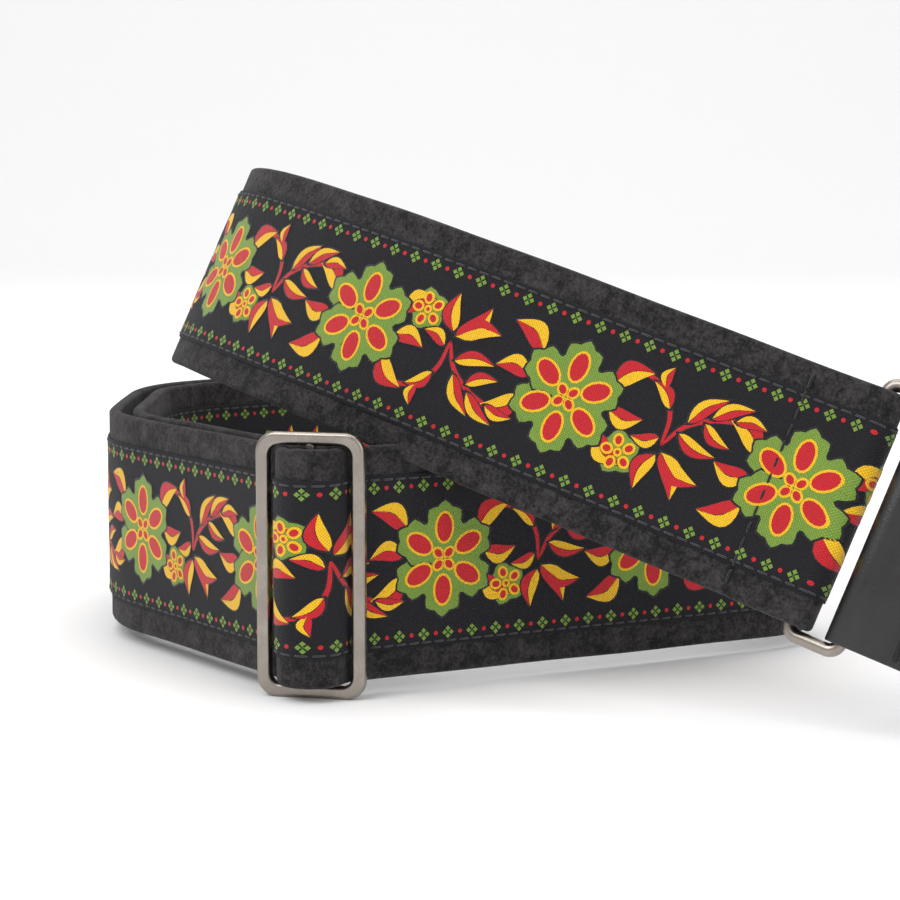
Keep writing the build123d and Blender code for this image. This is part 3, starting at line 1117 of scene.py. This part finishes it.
    def borders(self) -> None:
        """Add the rows of four-diamond clusters and dots along both edges."""
        corners = np.array([(1.0, 0.0), (0.0, 1.0), (-1.0, 0.0), (0.0, -1.0)])
        count = int(self.ribbon.last() / self.border_pitch)
        for i in range(count):
            at = (i + 0.5) * self.border_pitch
            for side in (-1, 1):
                place = Place(at, side)
                for x, y in ((0.82, 0), (-0.82, 0), (0, 0.82), (0, -0.82)):
                    self.shape(place, Yarn.GREEN, corners * 0.6 + (x, y + self.border), Level.LOW)
                self.shape(place, Yarn.DARK_GREEN, corners * 0.36 + (0, self.border), Level.LOW)
                dot = lobed(0.5, 6, 0.0) + (self.border_pitch / 2, self.border)
                self.shape(place, Yarn.RED, dot, Level.LOW)

    def build(self, finishes: dict[Yarn, bpy.types.Material]) -> list[bpy.types.Object]:
        """Make the pattern, one object to a yarn.

        Args:
            finishes: the material of each yarn.

        Returns:
            The objects.
        """
        self.borders()
        count = int((self.ribbon.last() - self.phase) / self.pitch) + 2
        for i in range(-1, count):
            place = Place(self.phase + i * self.pitch, -1 if i % 2 else 1)
            self.flower(place)
            self.scroll(place)
        return [
            draft.build(f"pattern_{yarn.value}", finishes[yarn], 35.0) for yarn, draft in self.drafts.items()
        ]


@dataclass(frozen=True)
class Place:
    """Where one repeat of the pattern starts, and which way up it is."""

    along: float
    side: int

    def put(self, outline: np.ndarray) -> np.ndarray:
        """Move an outline to this place on the ribbon."""
        return outline * (1, self.side) + (self.along, 0)


def spun(outline: np.ndarray, angle: float) -> np.ndarray:
    """Turn an outline about its origin by an angle in degrees."""
    cosine, sine = way_of(angle)
    return outline @ np.array([[cosine, sine], [-sine, cosine]])


def lobed(radius: float, lobes: int, depth: float) -> np.ndarray:
    """Draw a round outline with a scalloped edge."""
    angle = np.linspace(0, 2 * math.pi, lobes * 4 if depth else 14, endpoint=False)
    reach = radius * (1 + depth * np.cos(lobes * angle))
    return np.stack([reach * np.cos(angle), reach * np.sin(angle)], -1)


def smooth_line(points: np.ndarray, step: float) -> np.ndarray:
    """Run a smooth line through points.

    Args:
        points: the points.
        step: the spacing of the line's own points.

    Returns:
        The line's points.
    """
    padded = np.concatenate([2 * points[:1] - points[1:2], points, 2 * points[-1:] - points[-2:-1]])
    out = [points[0]]
    for a, b, c, d in zip(padded, padded[1:], padded[2:], padded[3:]):
        count = max(int(np.linalg.norm(c - b) / step), 2)
        for t in np.linspace(0, 1, count + 1)[1:]:
            square, cube = 2 * a - 5 * b + 4 * c - d, 3 * b - a - 3 * c + d
            out.append(0.5 * (2 * b + (c - a) * t + square * t**2 + cube * t**3))
    return np.array(out)


@dataclass
class LeatherEnd:
    """A folded leather end with its ribbed panel."""

    end: End
    frame: TabFrame
    nodes: dict[str, bpy.types.Object]
    length: float = 76.0
    straight: float = 24.0
    half_width: float = 25.4
    half_tip: float = 16.5
    panel_start: float = 11.0
    panel_length: float = 36.0
    panel_inset: float = 1.4
    panel_low: float = 2.0
    panel_high: float = 2.8
    rib_pitch: float = 1.5
    stitch_inset: float = 1.6

    def half_at(self, along: np.ndarray, inset: float) -> np.ndarray:
        """Find half the width this far along, inside an inset."""
        share = np.clip((along - self.straight) / (self.length - inset - self.straight), 0, 1)
        return self.half_width - inset - share * (self.half_width - self.half_tip)

    def build_leaf(self, kind: str, finish: bpy.types.Material, round_edge: float) -> bpy.types.Object:
        """Make a flat piece from the CAD's shape, with its cut edges rounded over.

        Args:
            kind: leather or stiffener.
            finish: its material.
            round_edge: how far its edges are rounded, in millimetres.

        Returns:
            The piece.
        """
        source = f"{self.end.value}_tab_{kind}"
        work = bmesh.new()
        work.from_mesh(self.nodes[source].data)
        bmesh.ops.remove_doubles(work, verts=work.verts, dist=1e-6)
        bmesh.ops.dissolve_limit(work, angle_limit=math.radians(1.5), verts=work.verts, edges=work.edges)
        edges = [e for e in work.edges if len(e.link_faces) == 2 and e.calc_face_angle() > math.radians(50)]
        bmesh.ops.bevel(
            work, geom=edges, offset=round_edge * MM, segments=3, profile=0.5, affect="EDGES",
            clamp_overlap=True,
        )
        uv = work.loops.layers.uv.verify()
        for face in work.faces:
            for loop in face.loops:
                local = np.array(loop.vert.co) / MM - self.frame.origin
                loop[uv].uv = (local @ self.frame.along * MM, local @ self.frame.across * MM)
        mesh = bpy.data.meshes.new(f"{self.end.value}_{kind}")
        work.to_mesh(mesh)
        work.free()
        made = finished(mesh, f"{self.end.value}_{kind}", finish, 40.0)
        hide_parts(source)
        return made

    def build_panel(self, finish: bpy.types.Material) -> bpy.types.Object:
        """Make the ribbed webbing panel."""
        share = np.linspace(0, 1, round(self.panel_length / self.rib_pitch) * 6 + 1)
        along = self.panel_start + share * self.panel_length
        rib = 0.28 * np.abs(np.sin(math.pi * (along - self.panel_start) / self.rib_pitch)) ** 0.7 - 0.28
        rim, fall = np.array([0.95, 0.985, 1.0, 1.0]), np.array([0.0, -0.08, -0.3, -0.8])
        across = np.concatenate([-rim[::-1], np.linspace(-0.9, 0.9, 19), rim])
        drop = np.concatenate([fall[::-1], np.zeros(19), fall])
        spread = self.half_at(along, self.panel_inset)[:, None] * across
        heights = np.maximum(self.panel_high + rib[:, None] + drop[None, :], self.panel_low)
        heights[[0, -1]] = self.panel_low
        draft = MeshDraft()
        draft.drape(self.frame.point, along[:, None], spread, heights)
        made = draft.build(f"{self.end.value}_panel", finish, 60.0)
        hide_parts(f"{self.end.value}_tab_panel")
        return made

    def build_stitches(self, finish: bpy.types.Material) -> bpy.types.Object:
        """Make the stitching round the panel."""
        inset = self.panel_inset + self.stitch_inset
        first = self.panel_start + self.stitch_inset
        last = self.panel_start + self.panel_length - self.stitch_inset
        stops = np.array([first, self.straight, last])
        half = self.half_at(stops, inset)
        right = np.stack([stops, half], -1)
        left = np.stack([stops, -half], -1)
        row = StitchRow(self.frame.point, radius=0.3, length=2.4, gap=0.6, seed=7)
        draft = MeshDraft()
        for line in (left, right, np.array([left[0], right[0]]), np.array([left[-1], right[-1]])):
            row.lay(draft, line, self.panel_high - 0.05)
        made = draft.build(f"{self.end.value}_stitches", finish)
        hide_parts(f"{self.end.value}_tab_stitching")
        return made


@dataclass(frozen=True)
class Studio:
    """The floor, the light and the camera."""

    camera_at: tuple[float, float, float] = (-0.0357, -0.6306, 0.1191)
    pitch: float = 83.1
    lens: float = 104.0

    def build(self) -> None:
        """Set up everything that isn't the strap."""
        self.build_floor()
        self.add_light("key", (-0.9, -0.9, 1.5), 1.1, 15.0)
        self.add_light("fill", (1.3, -1.2, 0.9), 1.4, 8.0)
        self.add_light("top", (0.1, 0.5, 1.7), 1.6, 15.0)
        scene = bpy.context.scene
        scene.view_settings.view_transform = "Standard"
        scene.world = bpy.data.worlds.new("studio")
        scene.world.use_nodes = True
        sky = scene.world.node_tree.nodes["Background"]
        sky.inputs["Color"].default_value = (1.0, 1.0, 1.0, 1.0)
        sky.inputs["Strength"].default_value = 0.7
        data = bpy.data.cameras.new("camera")
        data.lens, data.sensor_width, data.clip_start = self.lens, 36.0, 0.01
        camera = bpy.data.objects.new("camera", data)
        camera.location = self.camera_at
        camera.rotation_euler = (math.radians(self.pitch), 0.0, 0.0)
        scene.collection.objects.link(camera)
        scene.camera = camera

    def build_floor(self) -> None:
        """Lay the floor, which curves up behind."""
        profile = [(-3.0, 0.0), (1.6, 0.0)]
        sweep = np.linspace(0.1, math.pi / 2, 12)
        profile += [(1.6 + math.sin(a) * 0.8, 0.8 - math.cos(a) * 0.8) for a in sweep]
        profile += [(2.4, 3.0)]
        points = np.array([[(x, y, z) for x in (-4.0, 4.0)] for y, z in profile])
        draft = MeshDraft()
        draft.grid(points, points[..., :2])
        floor = draft.build("floor", FloorFinish().material())

    def add_light(self, name: str, at: tuple[float, float, float], size: float, power: float) -> None:
        """Add a large soft light that faces the strap.

        Args:
            name: its name.
            at: where it is.
            size: its width in metres.
            power: its power in watts.
        """
        data = bpy.data.lights.new(name, "AREA")
        data.size, data.energy = size, power
        light = bpy.data.objects.new(name, data)
        light.location = at
        light.rotation_euler = (Vector((0, 0, 0.05)) - Vector(at)).to_track_quat("-Z", "Y").to_euler()
        bpy.context.scene.collection.objects.link(light)


def build_strap(coil: Coil) -> None:
    """Build the band, its ribbon, pattern and stitching, which all belong to the strap's own body."""
    thread = WovenFinish("thread", (0.045, 0.045, 0.052), warp=0.0005, weft=0.0005, contrast=0.4).material()
    dark_thread = WovenFinish("dark_thread", (0.02, 0.02, 0.021), warp=0.0005, weft=0.0005).material()
    ground = WovenFinish("ribbon_ground", (0.0075, 0.0075, 0.0115), contrast=0.6, sheen=0.05).material()
    yarns = {
        yarn: WovenFinish(f"yarn_{yarn.value}", colour, contrast=0.35).material()
        for yarn, colour in YARN_COLOURS.items()
    }
    band, ribbon = Band(coil), Ribbon(coil)
    body, seams = band.build(SuedeFinish().material()), band.build_seams(dark_thread)
    face, edges = ribbon.build(ground), ribbon.build_edges(thread)
    pattern = Pattern(ribbon).build(yarns)
    for piece in (body, seams, face, edges, *pattern):
        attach(piece, "strap")
    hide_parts("suede_cover", "webbing_core")
    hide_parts("ring_hem_stitching", "slider_hem_stitching")
    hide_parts("jacquard_ribbon")
    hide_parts("ribbon_stitching_upper", "ribbon_stitching_lower")
    for piece in (face, *pattern):
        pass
    2 * band.half_width * MM
    band.length() * MM
    2 * ribbon.half_width * MM
    ribbon.last() * MM
    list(pattern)
    LOG.info("band %.0f mm, ribbon %.0f mm", band.length(), ribbon.last())


def build_ends(coil: Coil, nodes: dict[str, bpy.types.Object]) -> None:
    """Build both leather ends.

    Args:
        coil: the band's run, which the ends hang on.
        nodes: the CAD's own objects.
    """
    leather = LeatherFinish().material()
    webbing = WovenFinish("webbing", (0.02, 0.02, 0.021), warp=0.0008, weft=0.0006).material()
    ribs = WovenFinish("ribbed_webbing", (0.018, 0.018, 0.019), warp=0.0007, weft=0.0015, contrast=0.55)
    ribbed = ribs.material()
    thread = WovenFinish("end_thread", (0.03, 0.03, 0.031), warp=0.0005, weft=0.0005).material()
    for end in End:
        piece = LeatherEnd(end, coil.tab(end), nodes)
        made = {
            "leather": piece.build_leaf("leather", leather, 0.35),
            "webbing": piece.build_leaf("stiffener", webbing, 0.12),
            "ribbed_webbing": piece.build_panel(ribbed),
            "thread": piece.build_stitches(thread),
        }
        for slot, part in made.items():
            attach(part, f"{end.value}_end")
        LOG.info("%s end built", end.value)


def dress_hardware(nodes: dict[str, bpy.types.Object]) -> None:
    """Give the rings and the slider their plated finish.

    Args:
        nodes: the CAD's own objects.
    """
    nickel = NickelFinish().material()
    for name in ("slider_frame", "slider_centre_bar", "front_ring", "rear_ring"):
        for slot in nodes[name].material_slots:
            slot.material = nickel


def main() -> None:
    """Build the whole scene."""
    logging.basicConfig(level=logging.INFO, format="%(message)s")
    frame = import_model()
    coil = Coil()
    build_strap(coil)
    build_ends(coil, frame["nodes"])
    dress_hardware(frame["nodes"])
    Studio().build()
    LOG.info("built")


if __name__ == "__main__":
    main()
